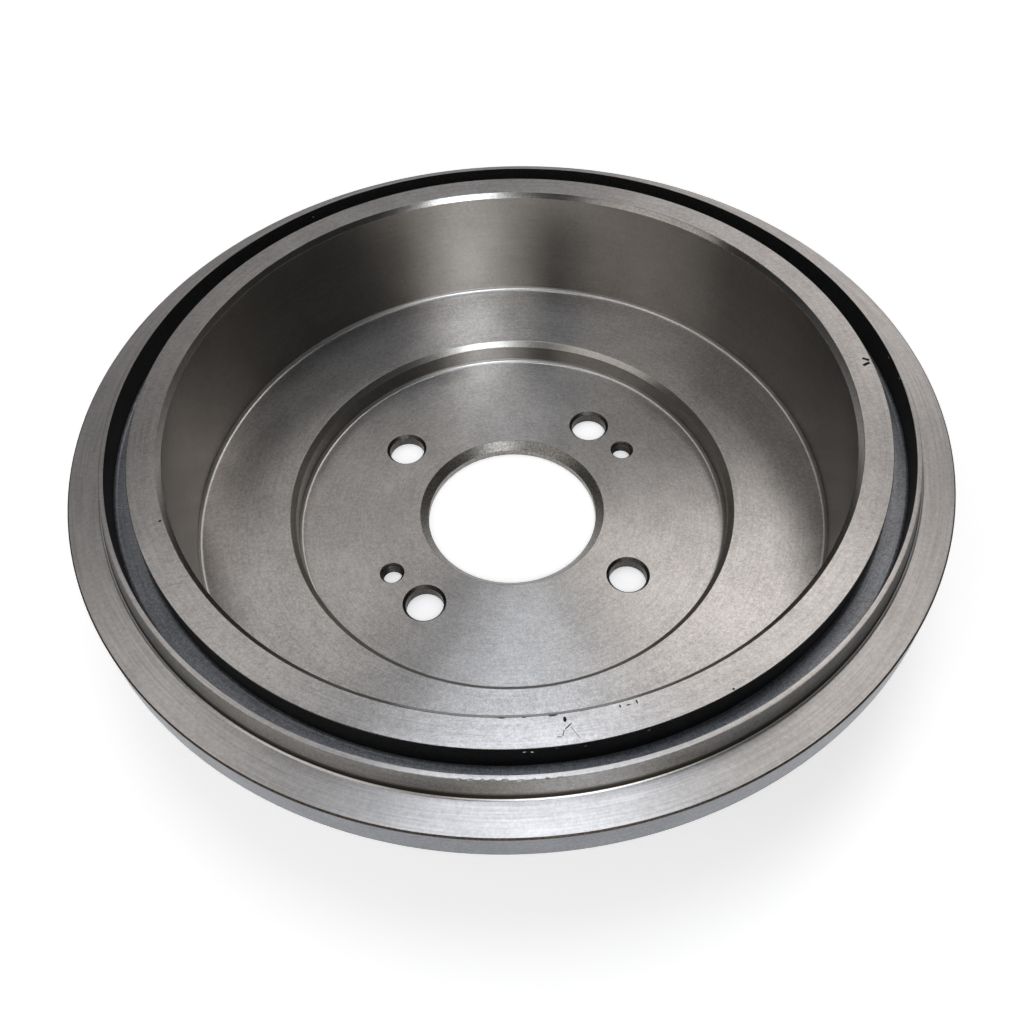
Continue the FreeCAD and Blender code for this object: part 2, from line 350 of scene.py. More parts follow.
def section_place(tree):
    """A point's way out from the axis, its radius and its height."""
    place = node(tree, "ShaderNodeTexCoord").outputs["Object"]
    parts = node(tree, "ShaderNodeSeparateXYZ", Vector=place)
    flat = node(tree, "ShaderNodeCombineXYZ", X=parts.outputs["X"], Y=parts.outputs["Y"])
    radius = node(tree, "ShaderNodeVectorMath", {"operation": "LENGTH"}, Vector=flat.outputs[0])
    return flat.outputs[0], radius.outputs["Value"], parts.outputs["Z"]


def speckle(tree, grain_mm, detail=FINE_DETAIL):
    """Noise without a direction, whose grains are about as wide as given."""
    place = node(tree, "ShaderNodeTexCoord").outputs["Object"]
    return node(tree, "ShaderNodeTexNoise", Vector=place, Scale=1 / (grain_mm * MM), Detail=detail,
                Roughness=GRAIN_ROUGHNESS).outputs["Fac"]


def rings(tree, ring_mm):
    """Noise that runs in rings: fast across them, slow along them, and with no seam."""
    flat, radius, height = section_place(tree)
    way = node(tree, "ShaderNodeVectorMath", {"operation": "NORMALIZE"}, Vector=flat)
    slow = node(tree, "ShaderNodeVectorMath", {"operation": "SCALE"}, Vector=way.outputs[0],
                Scale=WAVES_ROUND)
    across = node(tree, "ShaderNodeMath", {"operation": "MULTIPLY"}, _0=radius, _1=1 / (ring_mm * MM))
    upward = node(tree, "ShaderNodeMath", {"operation": "MULTIPLY"}, _0=height, _1=1 / (ring_mm * MM))
    lift = node(tree, "ShaderNodeCombineXYZ", Z=across.outputs[0])
    whole = node(tree, "ShaderNodeVectorMath", {"operation": "ADD"},
                 _0=slow.outputs[0], _1=lift.outputs[0])
    return node(tree, "ShaderNodeTexNoise", {"noise_dimensions": "4D"}, Vector=whole.outputs[0],
                W=upward.outputs[0], Scale=1.0, Detail=FINE_DETAIL).outputs["Fac"]


def mixed(tree, parts):
    """Adds up patterns, each with its share."""
    total = 0.0
    for pattern, share in parts:
        total = node(tree, "ShaderNodeMath", {"operation": "MULTIPLY_ADD"},
                     _0=pattern, _1=share, _2=total).outputs[0]
    return total


# %% [markdown]
# ## Marks and painted shade
# The ring's face has faint scratches that cross each other, from being stacked. Noise
# that is stretched a lot in one direction gives them, once for each direction. Shade in
# the corner at the foot of the lip is painted into the colour, so it is worked out from
# how far a point is from that corner of the section.

# %% Marks from handling, and painted shade in a corner
MARK_LAYERS = ((1.15, 5.0), (-0.35, 3.5))  # lean in radians, length in mm
MARK_WIDTH_MM = 0.35
MARK_START, MARK_FULL = 0.6, 0.78
SHADE_CORE = 0.35


def cross_marks(tree):
    """Short fine scratches in two crossing directions, as a value from 0 to 1."""
    place = node(tree, "ShaderNodeTexCoord").outputs["Object"]
    total = 0.0
    for lean, length_mm in MARK_LAYERS:
        turned = node(tree, "ShaderNodeMapping", Vector=place, Rotation=(0, 0, lean),
                      Scale=(1 / (length_mm * MM), 1 / (MARK_WIDTH_MM * MM), 1 / MM))
        lines = node(tree, "ShaderNodeTexNoise", Vector=turned.outputs[0], Scale=1.0, Detail=1.0)
        lines = node(tree, "ShaderNodeMapRange", _0=lines.outputs["Fac"], _1=MARK_START, _2=MARK_FULL)
        total = node(tree, "ShaderNodeMath", {"operation": "ADD"},
                     _0=lines.outputs[0], _1=total).outputs[0]
    return total


def painted_corner_shade(tree, radius_mm, height_mm, reach_mm):
    """Where shade is painted: 1 in a round corner of the section, fading to 0 at the given reach."""
    flat, radius, height = section_place(tree)
    across = node(tree, "ShaderNodeMath", {"operation": "SUBTRACT"}, _0=radius, _1=radius_mm * MM)
    upward = node(tree, "ShaderNodeMath", {"operation": "SUBTRACT"}, _0=height, _1=height_mm * MM)
    away = node(tree, "ShaderNodeCombineXYZ", X=across.outputs[0], Y=upward.outputs[0])
    away = node(tree, "ShaderNodeVectorMath", {"operation": "LENGTH"}, Vector=away.outputs[0])
    return node(tree, "ShaderNodeMapRange", _0=away.outputs["Value"], _1=SHADE_CORE * reach_mm * MM,
                _2=reach_mm * MM, _3=1.0, _4=0.0).outputs[0]


# %% [markdown]
# ## Turned iron
# Grey iron is a nearly neutral metal, a little warm where it is cut fine and a little
# blue where it is cut coarse. One function makes all its machined finishes. Each has a
# lighter and a darker tone, a roughness, how strongly the rings draw the light out, how
# far apart they are, and how deep the relief is. Painted rings alone would look printed,
# and anisotropic gloss alone would look like chrome, so the two go together.

# %% Turned iron
SPECKLE_SHARE = 0.26
FINE_SHARE = 0.58
CLOUD_SHARE = 0.16
BRUSHED = 0.16
PATTERN_DARK, PATTERN_LIGHT = 0.4, 0.6
SPECKLE_DETAIL = 3.0
CUT_RELIEF_MM = 0.02
ALONG_THE_RINGS = 0.25


def turned_iron(name, light, dark, roughness, anisotropic, ring_mm, relief, marks=0.0, painted_shade=None,
                brushed=BRUSHED):
    """Machined grey iron: a metal whose colour and relief vary with the cut and its grain."""
    material, tree = new_material(name)
    pattern = mixed(tree, [(rings(tree, ring_mm), brushed),
                           (speckle(tree, SPECKLE_MM, SPECKLE_DETAIL), SPECKLE_SHARE),
                           (speckle(tree, GRIT_MM), FINE_SHARE - brushed),
                           (speckle(tree, CLOUD_MM), CLOUD_SHARE)])
    ramp = node(tree, "ShaderNodeMapRange", _0=pattern, _1=PATTERN_DARK, _2=PATTERN_LIGHT)
    colour = mixed_colour(tree, ramp.outputs[0], linear(dark), linear(light))
    if marks:
        scratched = node(tree, "ShaderNodeMath", {"operation": "MULTIPLY", "use_clamp": True},
                         _0=cross_marks(tree), _1=marks)
        colour = mixed_colour(tree, scratched.outputs[0], colour, linear("#6f6c69"))
    # Painted shade: the given corner of the section is darkened towards brown-black.
    if painted_shade:
        colour = mixed_colour(tree, painted_corner_shade(tree, *painted_shade), colour, linear("#38332d"))
    bump = node(tree, "ShaderNodeBump", Strength=relief, Distance=CUT_RELIEF_MM * MM, Height=pattern)
    grain = node(tree, "ShaderNodeTangent", {"direction_type": "UV_MAP", "uv_map": "turning"})
    shader = node(tree, "ShaderNodeBsdfPrincipled", Base_Color=colour, Metallic=1.0,
                  Roughness=roughness, Anisotropic=anisotropic, Anisotropic_Rotation=ALONG_THE_RINGS,
                  Normal=bump.outputs[0], Tangent=grain.outputs[0])
    node(tree, "ShaderNodeOutputMaterial", Surface=shader.outputs[0])
    return material


# %% Flat turned faces: lighter and darker tone, roughness, streak, ring width in mm, relief
# The floor and the mounting plate, faced in one cut: even, with soft streaks.
facing = turned_iron("grey_iron_faced", "#d2d1d1", "#a6a5a5", 0.30, 0.75, 0.55, 0.4)
# The flange, faced with a coarser feed: its rings show as brushed lines.
flange_facing = turned_iron("grey_iron_flange", "#cdcccc", "#aeadad", 0.33, 0.72, 0.55, 0.35,
                            brushed=0.36)
# The ring's face, which carries the drum in a stack: crossed by faint scratches.
ring_facing = turned_iron("grey_iron_ring_face", "#cfcece", "#a9a8a8", 0.31, 0.7, 0.55, 0.45,
                          marks=0.3, brushed=0.22)
# The groove's floor, cut with a narrow tool: duller and grainier.
groove_turning = turned_iron("grey_iron_groove_floor", "#abafb5", "#76797f", 0.46, 0.5, 0.5, 0.8)

# %% Walls and edges, in the same columns
# The friction bore and the recess wall, bored fine for the shoes: smooth and warm, and painted dark
# as shade for the dark inside that they mirror.
boring = turned_iron("grey_iron_bored", "#999590", "#87837e", 0.24, 0.75, 0.45, 0.25)
recess_boring = turned_iron("grey_iron_recess_wall", "#96938e", "#84817c", 0.25, 0.75, 0.45, 0.3)
# Fillets and edge breaks, where the tool's round nose rubs: the brightest lines.
burnish = turned_iron("grey_iron_burnished", "#d2d1cf", "#bcbab8", 0.30, 0.5, 0.4, 0.2)
recess_edge = turned_iron("grey_iron_recess_edge", "#b6b4b0", "#989691", 0.28, 0.5, 0.4, 0.2)
# The mouth's bevel, cut clean: white where it faces the lamps, dark where it doesn't.
bevelled = turned_iron("grey_iron_bevel", "#a09e9b", "#83817e", 0.2, 0.6, 0.4, 0.25)
# The lip's side and the rim, turned last: duller, and painted darker as shade for the dark
# ground that they mirror. Shade at the lip's foot is painted too, with a radius, a height
# and a reach.
lip_foot_shade = (LIP_FOOT - 0.2, FLANGE_TOP + 0.8, 1.8)
lip_turning = turned_iron("grey_iron_lip_side", "#9f9d9a", "#7e7b78", 0.36, 0.72, 0.5, 0.4,
                          painted_shade=lip_foot_shade)
# Painted shade: the rim's darker tones stand for the dark ground that it mirrors.
rimming = turned_iron("grey_iron_rim", "#8b8e93", "#6b6e72", 0.34, 0.6, 0.5, 0.35)

# %% [markdown]
# ## Rough iron
# A drill, a chip and the sand of the mould leave iron without a direction in it. The
# skin of the casting is an oxide and only partly metal, so it is dark and dull. One kind
# of noise, at the size of the sand, gives both its tone and its relief.

# %% Drilled, chipped and cast iron
SAND_DETAIL = 4.0
SAND_DARK, SAND_LIGHT = 0.35, 0.7
SAND_RELIEF = 0.6


def rough_iron(name, light, dark, metallic, roughness, grain_mm, relief_mm):
    """Iron without a direction in it, as a drill, a chip or the sand of the mould leaves it."""
    material, tree = new_material(name)
    sand = speckle(tree, grain_mm, SAND_DETAIL)
    ramp = node(tree, "ShaderNodeMapRange", _0=sand, _1=SAND_DARK, _2=SAND_LIGHT)
    colour = mixed_colour(tree, ramp.outputs[0], linear(dark), linear(light))
    bump = node(tree, "ShaderNodeBump", Strength=SAND_RELIEF, Distance=relief_mm * MM, Height=sand)
    shader = node(tree, "ShaderNodeBsdfPrincipled", Base_Color=colour, Metallic=metallic,
                  Roughness=roughness, Normal=bump.outputs[0])
    node(tree, "ShaderNodeOutputMaterial", Surface=shader.outputs[0])
    return material


# %% Rough finishes: lighter and darker tone, metal, roughness, grain in mm, relief in mm
# Drilled walls: painted dark, as shade for a narrow hole that mirrors mostly itself.
drilling = rough_iron("grey_iron_drilled", "#5f5d5a", "#3d3b38", 1.0, 0.42, 0.7, 0.06)
# The bevel of the pilot bore, cut coarse: it glitters.
hub_bevel = rough_iron("grey_iron_hub_bevel", "#a3a19d", "#6f6d69", 1.0, 0.38, 0.7, 0.07)
# Knocks: fresh iron in a new chip, and dirt in an old pit.
chip_bright = rough_iron("grey_iron_fresh_chip", "#b5b4b1", "#8f8d89", 1.0, 0.4, 0.5, 0.05)
pit_dark = rough_iron("grey_iron_dark_pit", "#4c4945", "#2c2a27", 0.8, 0.6, 0.4, 0.05)
pit_grey = rough_iron("grey_iron_grey_pit", "#7d7a76", "#5c5a56", 0.9, 0.55, 0.4, 0.05)
# The outer edge of the flange, which the tool missed: a thin brown line.
dull_edge = rough_iron("grey_iron_dull_edge", "#5a5048", "#3a322c", 0.9, 0.4, 0.7, 0.03)
# The skin of the mould: black in the groove, and sandy on the outside.
black_skin = rough_iron("grey_iron_black_skin", "#323232", "#1b1b1b", 0.6, 0.52, 0.8, 0.15)
sand_skin = rough_iron("grey_iron_sand_skin", "#4f4c4a", "#302e2d", 0.6, 0.62, 1.0, 0.2)
iron_names = [made.name for made in bpy.data.materials if made.name.startswith("grey_iron_")]
print("finishes:", len(iron_names))

# %% [markdown]
# ## The half section
# The drum could be stacked from cylinders, but then each groove and bevel would be a cut
# of its own. A lathe follows one outline, so one outline is drawn: a single vertex is
# extruded from corner to corner, and the loop is closed. Each corner then gets its
# rounding as a vertex bevel. A large radius is a cast corner, and a small one is the edge
# break of a turned face, which catches the light as a thin bright line.

# %% Corners: radius, height, rounding in mm, segments
EDGE = 0.12
WHEEL_EDGE = 1.0
SHOULDER_FILLET = 6.0
AT_A_CORNER = 0.01
CORNERS = [
    (HUB_RADIUS, 0, 0.4, 1),
    (WHEEL_FACE, 0, WHEEL_EDGE, 2),
    (HAT_RADIUS, SHOULDER, 3.0, 6),
    (BARREL_END, SHOULDER, SHOULDER_FILLET, 8),
    (BARREL_RADIUS, FLANGE_BACK, 3.5, 6),
    (FLANGE_RADIUS, FLANGE_BACK, 0.5, 2),
    (FLANGE_RADIUS, FLANGE_TOP, 0.5, 3),
    (LIP_FOOT, FLANGE_TOP, 0.9, 5),
    (LIP_RADIUS, RING_TOP, 0.18, 2),
    (GROOVE_RADIUS, RING_TOP, EDGE, 2),
    (GROOVE_RADIUS, GROOVE_FLOOR, 1.2, 4),
    (RING_RADIUS, GROOVE_FLOOR, 1.2, 4),
    (RING_RADIUS, RING_TOP, 0.2, 2),
    (FRICTION_RADIUS + MOUTH_BEVEL[0], RING_TOP, EDGE, 2),
    (FRICTION_RADIUS, RING_TOP - MOUTH_BEVEL[1], EDGE, 2),
    (FRICTION_RADIUS, FLOOR, 1.5, 6),
    (RECESS_RADIUS + RECESS_BEVEL, FLOOR, EDGE, 2),
    (RECESS_RADIUS, FLOOR - RECESS_BEVEL, EDGE, 2),
    (RECESS_RADIUS, PLATE, 1.4, 6),
    (HUB_RADIUS + HUB_BEVEL, PLATE, EDGE, 2),
    (HUB_RADIUS, PLATE - HUB_BEVEL, EDGE, 2),
]


def select_near(thing, place, reach):
    """Selects only the vertices within reach of a place, in edit mode."""
    mesh = bmesh.from_edit_mesh(thing.data)
    for vertex in mesh.verts:
        vertex.select = (vertex.co - place).length < reach
    mesh.select_flush_mode()
    bmesh.update_edit_mesh(thing.data)


# %% Draw the outline
first = CORNERS[0]
bpy.ops.object.select_all(action="DESELECT")
bpy.ops.mesh.primitive_plane_add(size=1 * MM, location=(first[0] * MM, 0, first[1] * MM))
drum = bpy.context.object
drum.name = "cast_drum"
bpy.ops.object.transform_apply(location=True, rotation=False, scale=False)
bpy.ops.object.mode_set(mode="EDIT")
bpy.ops.mesh.select_mode(type="VERT")
bpy.ops.mesh.select_all(action="SELECT")
bpy.ops.mesh.merge(type="CENTER")
for here, following in zip(CORNERS, CORNERS[1:]):
    step = ((following[0] - here[0]) * MM, 0, (following[1] - here[1]) * MM)
    bpy.ops.mesh.extrude_vertices_move(TRANSFORM_OT_translate={"value": step})
mesh = bmesh.from_edit_mesh(drum.data)
for vertex in mesh.verts:
    vertex.select = len(vertex.link_edges) < 2
mesh.select_flush_mode()
bmesh.update_edit_mesh(drum.data)
bpy.ops.mesh.edge_face_add()
print("outline corners:", len(bmesh.from_edit_mesh(drum.data).verts))

# %% Round the corners
for radius, height, rounding, segments in CORNERS:
    bpy.ops.mesh.select_all(action="DESELECT")
    select_near(drum, Vector((radius, 0, height)) * MM, AT_A_CORNER * MM)
    bpy.ops.mesh.bevel(offset=rounding * MM, segments=segments, affect="VERTICES")
print("outline points:", len(bmesh.from_edit_mesh(drum.data).verts))

# %% [markdown]
# ## Spin it
# The outline is spun once round the axis, as the drum turns past the tool. The Screw
# modifier could do the same, but the spin leaves a plain mesh that is ready to be cut.
# 720 steps keep each step near a millimetre at the rim, which is fine enough for the
# chips and nicks that come later. A full turn closes on its first step by itself.

# %% Spin
STEPS = 720

bpy.ops.mesh.select_all(action="SELECT")
bpy.ops.mesh.spin(steps=STEPS, angle=2 * math.pi, center=(0, 0, 0), axis=(0, 0, 1))
bpy.ops.mesh.select_all(action="SELECT")
bpy.ops.mesh.normals_make_consistent(inside=False)
bpy.ops.object.mode_set(mode="OBJECT")
print("turned faces:", len(drum.data.polygons))

# %% [markdown]
# ## Holes
# The stud holes and the tapped holes are drilled, and their mouths are countersunk on
# both faces. So the cutter has the shape of what the drill and the countersink leave:
# a cylinder that flares at both ends, and goes on past the faces so that none of its own
# faces lies on one of the drum's. The holes aren't round the axis, so the outline can't
# hold them, and a boolean with the exact solver cuts them. It also hands the cutter's
# finish to the new walls.

# %% Cutter
HOLE_STEPS = 96
FACING_THAT_WAY = 0.9
FLARE_REACH = 2


def hole_cutter(radius, bevel, place):
    """A drill's sweep through the mounting plate, flared at both faces."""
    bpy.ops.object.select_all(action="DESELECT")
    bpy.ops.mesh.primitive_cylinder_add(
        vertices=HOLE_STEPS, radius=radius * MM, depth=(PLATE - 2 * bevel) * MM,
        location=(place[0] * MM, place[1] * MM, PLATE / 2 * MM))
    cutter = bpy.context.object
    bpy.ops.object.mode_set(mode="EDIT")
    bpy.ops.mesh.select_mode(type="FACE")
    reach = bevel * FLARE_REACH
    flare = (radius + reach) / radius
    for up in (1, -1):
        mesh = bmesh.from_edit_mesh(cutter.data)
        for face in mesh.faces:
            face.select = face.normal.z * up > FACING_THAT_WAY
        mesh.select_flush_mode()
        bmesh.update_edit_mesh(cutter.data)
        bpy.ops.mesh.extrude_region_move(TRANSFORM_OT_translate={"value": (0, 0, up * reach * MM)})
        bpy.ops.transform.resize(value=(flare, flare, 1), center_override=cutter.location)
    bpy.ops.object.mode_set(mode="OBJECT")
    bpy.ops.object.transform_apply(location=True, rotation=False, scale=False)
    return cutter


def cut(thing, cutters):
    """Subtracts all the cutters at once, joined, and throws them away."""
    bpy.ops.object.select_all(action="DESELECT")
    for cutter in cutters:
        cutter.select_set(True)
    bpy.context.view_layer.objects.active = cutters[0]
    bpy.ops.object.join()
    drills = bpy.context.object
    bpy.context.view_layer.objects.active = thing
    holes = thing.modifiers.new("holes", "BOOLEAN")
    holes.object = drills
    holes.operation = "DIFFERENCE"
    holes.solver = "EXACT"
    holes.material_mode = "TRANSFER"
    before = len(thing.data.polygons)
    bpy.ops.object.modifier_apply(modifier=holes.name)
    bpy.data.objects.remove(drills)
    print("faces before and after the cut:", before, len(thing.data.polygons))
    assert len(thing.data.polygons) > before, "the cut went wrong"


# %% [markdown]
# ## Wear
# The ring's face and the lip were knocked in storage: a forked crack, a few pits and
# small chips along the edges. Each is cut out of the metal with a small cutter, so it
# catches light and shade by itself: a wedge for a line, and a low ball with jagged
# corners for a chip. A chip in the black skin shows fresh iron, and an old pit is dark.
# Bump could paint them, but a face that mirrors this plainly would show it as a stain.
# Places are given as seen by the camera, in millimetres: to its right, and towards it.

# %% Where the wear is
# The forked crack on the ring's face.
LINES = [
    # from right, from out, to right, to out, width, depth
    (12.8, 113.8, 10.9, 115.5, 0.45, 0.5),
    (10.7, 115.7, 10.3, 117.4, 0.40, 0.5),
    (10.1, 117.5, 8.8, 117.4, 0.35, 0.4),
    (12.4, 114.7, 14.8, 118.3, 0.22, 0.25),
]
# The two sides of the nick at the right, in the same columns.
DEEP_LINES = [
    (116.8, -12.2, 119.1, -11.0, 1.7, 0.8),
    (118.9, -10.1, 116.3, -8.7, 1.7, 0.8),
]
# Old pits in the ring's face and its mouth.
DEEP_PITS = [
    # right, out, below the ring's face, along, across, tall
    (11.1, 112.7, 0.0, 0.9, 1.5, 1.2),
    (55.0, 106.2, 0.0, 0.8, 0.7, 0.6),
    (-103.9, 43.1, 0.0, 0.9, 0.9, 0.7),
]
# Shallower ones along the mouth's bevel, in the same columns.
PITS = [
    (-5.0, 111.4, 0.0, 2.0, 0.8, 0.8),
    (0.8, 111.5, 0.0, 1.3, 0.7, 0.7),
    (8.2, 111.3, 0.0, 2.6, 0.9, 0.9),
    (25.4, 109.7, 0.0, 0.5, 1.1, 0.4),
    (27.6, 109.4, 0.0, 1.1, 0.5, 0.4),
    (29.8, 108.6, 0.0, 0.5, 1.4, 0.4),
]
# Fresh chips at the edges of the ring and of the lip, in the same columns.
CHIPS = [
    (0.5, 120.35, 1.7, 1.3, 0.6, 0.8),
    (2.5, 120.3, 2.0, 1.0, 0.5, 0.7),
    (8.7, 120.1, 1.0, 1.2, 0.6, 0.9),
    (16.0, 119.3, 2.0, 0.8, 0.6, 1.3),
    (32.2, 115.9, 1.6, 0.9, 0.5, 0.7),
    (-71.7, -104.9, 2.8, 0.9, 0.6, 0.7),
    (126.2, -13.3, 1.4, 1.2, 0.6, 0.6),
    (126.9, -3.1, 0.9, 1.0, 0.6, 0.6),
]
print("knocks:", len(LINES + DEEP_LINES + DEEP_PITS + PITS + CHIPS))

# %% Wear cutters
JAGGED = (0.85, 1.1)
WEDGE_FOOT = (0.8, 0.15)  # its length and width below, as shares of those above

wear = random.Random(7)


def shaped(cutter, finish, size, turn, place):
    """Gives a cutter its size, turn, place and the finish that it leaves."""
    cutter.data.materials.append(finish)
    cutter.scale = size
    cutter.rotation_euler = (0, 0, turn)
    cutter.location = place
    bpy.ops.object.transform_apply(location=True, rotation=True, scale=True)
    return cutter


def chip_cutter(row, finish):
    """A low ball with jagged corners, set into the surface along the ring."""
    right, out, below, along, across, tall = row
    bpy.ops.object.select_all(action="DESELECT")
    bpy.ops.mesh.primitive_ico_sphere_add(subdivisions=2, radius=0.5)
    ball = bpy.context.object
    for vertex in ball.data.vertices:
        vertex.co *= wear.uniform(*JAGGED)
    place = Vector(from_front(out, RING_TOP - below, right))
    around = math.atan2(place.y, place.x) + math.pi / 2
    return shaped(ball, finish, Vector((along, across, tall)) * MM, around, place)


def line_cutter(row, finish):
    """A narrow wedge, from one place to another, that ends in an edge below the face."""
    right, out, to_right, to_out, width, depth = row
    start = Vector(from_front(out, RING_TOP, right))
    end = Vector(from_front(to_out, RING_TOP, to_right))
    bpy.ops.object.select_all(action="DESELECT")
    bpy.ops.mesh.primitive_cube_add(size=1)
    wedge = bpy.context.object
    for vertex in wedge.data.vertices:
        if vertex.co.z < 0:
            vertex.co.x *= WEDGE_FOOT[0]
            vertex.co.y *= WEDGE_FOOT[1]
    length = (end - start).length
    turn = math.atan2(end.y - start.y, end.x - start.x)
    size = Vector((length, width * MM, 2 * depth * MM))
    return shaped(wedge, finish, size, turn, (start + end) / 2)


# %% [markdown]
# ## The lip's outer edge
# At the front that edge isn't a clean line: small bites have been knocked out of it, one
# beside the other. They are made as a row of chips of uneven length, with a little room
# between them, because cutters that touch can make the cut fail.

# %% Scallops along the lip's outer edge
SCALLOP_FROM, SCALLOP_TO = -97.5, -86.5  # degrees
SCALLOP_LENGTH = (1.2, 3.0)
SCALLOP_ACROSS = (0.7, 1.2)
SCALLOP_TALL = (0.8, 1.3)
SCALLOP_GAP = (0.7, 2.0)

scallops = []
angle = SCALLOP_FROM
while angle < SCALLOP_TO:
    length = wear.uniform(*SCALLOP_LENGTH)
    way = math.radians(angle) + length / 2 / LIP_RADIUS
    scallops.append((LIP_RADIUS * math.cos(way), -LIP_RADIUS * math.sin(way), 0.0,
                     length, wear.uniform(*SCALLOP_ACROSS), wear.uniform(*SCALLOP_TALL)))
    angle += math.degrees((length + wear.uniform(*SCALLOP_GAP)) / LIP_RADIUS)
print("scallops:", len(scallops))

# %% Drill and knock
cutters = [hole_cutter(STUD_HOLE, STUD_BEVEL, on_stud_circle(angle)) for angle in STUD_ANGLES]
jack_bevel = JACK_MOUTH - THREAD_DEPTH_RADIUS
cutters += [hole_cutter(THREAD_DEPTH_RADIUS, jack_bevel, on_stud_circle(angle))
            for angle in JACK_ANGLES]
for cutter in cutters:
    cutter.data.materials.append(drilling)
cutters += [line_cutter(row, pit_dark) for row in DEEP_LINES]
cutters += [line_cutter(row, pit_grey) for row in LINES]
cutters += [chip_cutter(row, pit_dark) for row in DEEP_PITS]
cutters += [chip_cutter(row, pit_grey) for row in PITS]
cutters += [chip_cutter(row, chip_bright) for row in CHIPS + scallops]
drum.data.materials.append(facing)
cut(drum, cutters)

# %% [markdown]
# ## Grain of the turning
# A turned face shines differently along and across its rings. The shader needs to know
# which way the rings run, so a UV map follows them: U goes once round the axis, and V
# goes across the rings. An automatic unwrap would give each patch a direction of its own,
# so U and V are worked out from where each corner lies.

# %% UV map that follows the rings
RADIUS_SHARE = 1.3


def map_turning(thing):
    """U is the turn round the axis, with no jump inside a face, and V runs across the rings."""
    layer = thing.data.uv_layers.new(name="turning")
    for face in thing.data.polygons:
        middle = math.atan2(face.center.y, face.center.x)
        for loop in face.loop_indices:
            place = thing.data.vertices[thing.data.loops[loop].vertex_index].co
            turn = math.atan2(place.y, place.x)
            turn += 2 * math.pi * round((middle - turn) / (2 * math.pi))
            across = RADIUS_SHARE * math.hypot(place.x, place.y) + place.z
            layer.data[loop].uv = (turn / (2 * math.pi), across)


map_turning(drum)

# %% [markdown]
# ## Which face has which finish
# The faces could be picked by hand, but there are thousands. The finish follows from
# where a face lies in the section and which way it points, so it also follows a changed
# size. The faces that a cutter left have their finish already.

# %% Which finish a face gets: slopes from 0 upright to 1 level, and distances in mm
LEVEL = 0.98
UPRIGHT = 0.1
GROOVE_FLOOR_SLOPE = 0.5
LIP_FOOT_SLOPE = 0.7
CLOSE = 0.05
BEVEL_MARGIN = 0.1
GROOVE_MOUTH = 0.3
HUB_MARGIN = 0.3
RIM_EDGE = 0.45
FLANGE_EDGE = 0.6
FILLET_MARGIN = 1.0


def is_cast(radius, height):
    """Whether a place is outside on the barrel or on the hat, which keep the mould's skin."""
    skin_from = BARREL_END - SHOULDER_FILLET - FILLET_MARGIN
    if radius > skin_from and height < FLANGE_BACK + BEVEL_MARGIN:
        return True
    behind_the_recess = RECESS_RADIUS + HAT_WALL / 2 < radius < BARREL_END
    return behind_the_recess and WHEEL_EDGE < height < SHOULDER + FLOOR_THICKNESS / 2


def finish_at(face):
    """The finish of one turned or cast face, from its radius, its height and its slope."""
    radius = math.hypot(face.center.x, face.center.y) / MM
    height = face.center.z / MM
    up = face.normal.z
    if RING_RADIUS - CLOSE < radius < GROOVE_RADIUS + CLOSE and height < RING_TOP - GROOVE_MOUTH:
        return groove_turning if up > GROOVE_FLOOR_SLOPE else black_skin
    at_the_edge = radius > FLANGE_RADIUS - RIM_EDGE and height > FLANGE_TOP - RIM_EDGE
    if at_the_edge and UPRIGHT < up < LEVEL:
        return dull_edge
    if radius > FLANGE_RADIUS - CLOSE:
        return rimming
    if radius > RING_RADIUS and height > FLANGE_TOP - FLANGE_EDGE:
        if up > LEVEL:
            return flange_facing
        return burnish if up > LIP_FOOT_SLOPE and radius > LIP_FOOT else lip_turning
    if is_cast(radius, height):
        return sand_skin
    if abs(up) > LEVEL:
        return ring_facing if up > 0 and height > FLANGE_TOP else facing
    if radius < HUB_RADIUS + HUB_BEVEL + HUB_MARGIN:
        return hub_bevel
    if height > FLANGE_TOP:
        return bevelled if up > UPRIGHT else boring
    if abs(up) < UPRIGHT:
        return boring if radius > HAT_RADIUS else recess_boring
    near_recess = RECESS_RADIUS < radius < RECESS_RADIUS + RECESS_BEVEL + BEVEL_MARGIN
    if near_recess and height > FLOOR - RECESS_BEVEL - BEVEL_MARGIN:
        return recess_edge
    return burnish


# %% Give out the finishes
FINISHES = [facing, flange_facing, ring_facing, boring, recess_boring, burnish, recess_edge,
            bevelled, lip_turning, rimming, groove_turning, drilling, hub_bevel, chip_bright,
            pit_dark, pit_grey, dull_edge, black_skin, sand_skin]
CUT_FINISHES = [drilling, chip_bright, pit_dark, pit_grey]

given = []
for face in drum.data.polygons:
    left_by_cut = drum.data.materials[face.material_index]
    given.append(left_by_cut if left_by_cut in CUT_FINISHES else finish_at(face))
drum.data.materials.clear()
for finish in FINISHES:
    drum.data.materials.append(finish)
for face, finish in zip(drum.data.polygons, given):
    face.material_index = FINISHES.index(finish)
for index, finish in enumerate(FINISHES):
    print(finish.name, sum(face.material_index == index for face in drum.data.polygons))

# %% [markdown]
# ## Smooth where it is round
# More steps would never be smooth enough on a surface that mirrors, so round stretches
# are shaded smooth and real edges stay sharp. Weighted normals keep the large flat faces
# truly flat up to their rounded edges.

# %% Shading
SMOOTH_UNDER = math.radians(32)
LARGEST_FACE_WINS = 100

bpy.ops.object.select_all(action="DESELECT")
drum.select_set(True)
bpy.context.view_layer.objects.active = drum
bpy.ops.object.shade_smooth_by_angle(angle=SMOOTH_UNDER)
weigh = drum.modifiers.new("flat faces stay flat", "WEIGHTED_NORMAL")
weigh.keep_sharp = True
weigh.weight = LARGEST_FACE_WINS
bpy.ops.object.modifier_apply(modifier=weigh.name)
print("sharp edges:", sum(edge.use_edge_sharp for edge in drum.data.edges))

